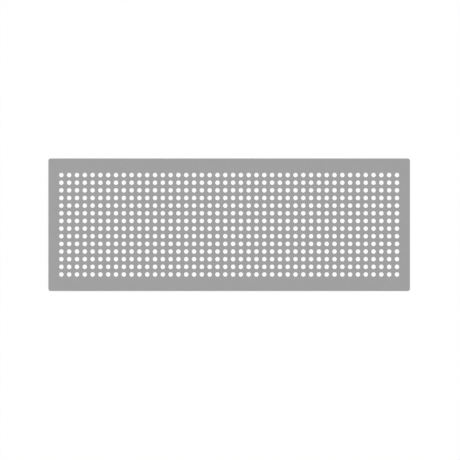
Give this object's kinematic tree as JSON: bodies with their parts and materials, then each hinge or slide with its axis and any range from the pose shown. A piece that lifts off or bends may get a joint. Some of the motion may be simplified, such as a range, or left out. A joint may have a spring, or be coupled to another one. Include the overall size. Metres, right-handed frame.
{
  "type": "vent cover grille",
  "caption": "Flat rectangular sheet-metal vent cover with rounded corners and a plain rim, punched with a regular field of small round holes that pass air through a wall or panel opening.",
  "frame": {"origin": "middle of the sheet's back face", "axes": "+X along the sheet's length, +Y across it, +Z out of the front face"},
  "size_m": [0.24, 0.088, 0.0012],
  "materials": {
    "grey_coating": "satin light grey powder coat on aluminium sheet"
  },
  "bodies": {
    "root": {"grille_plate": "grey_coating"}
  },
  "joints": []
}
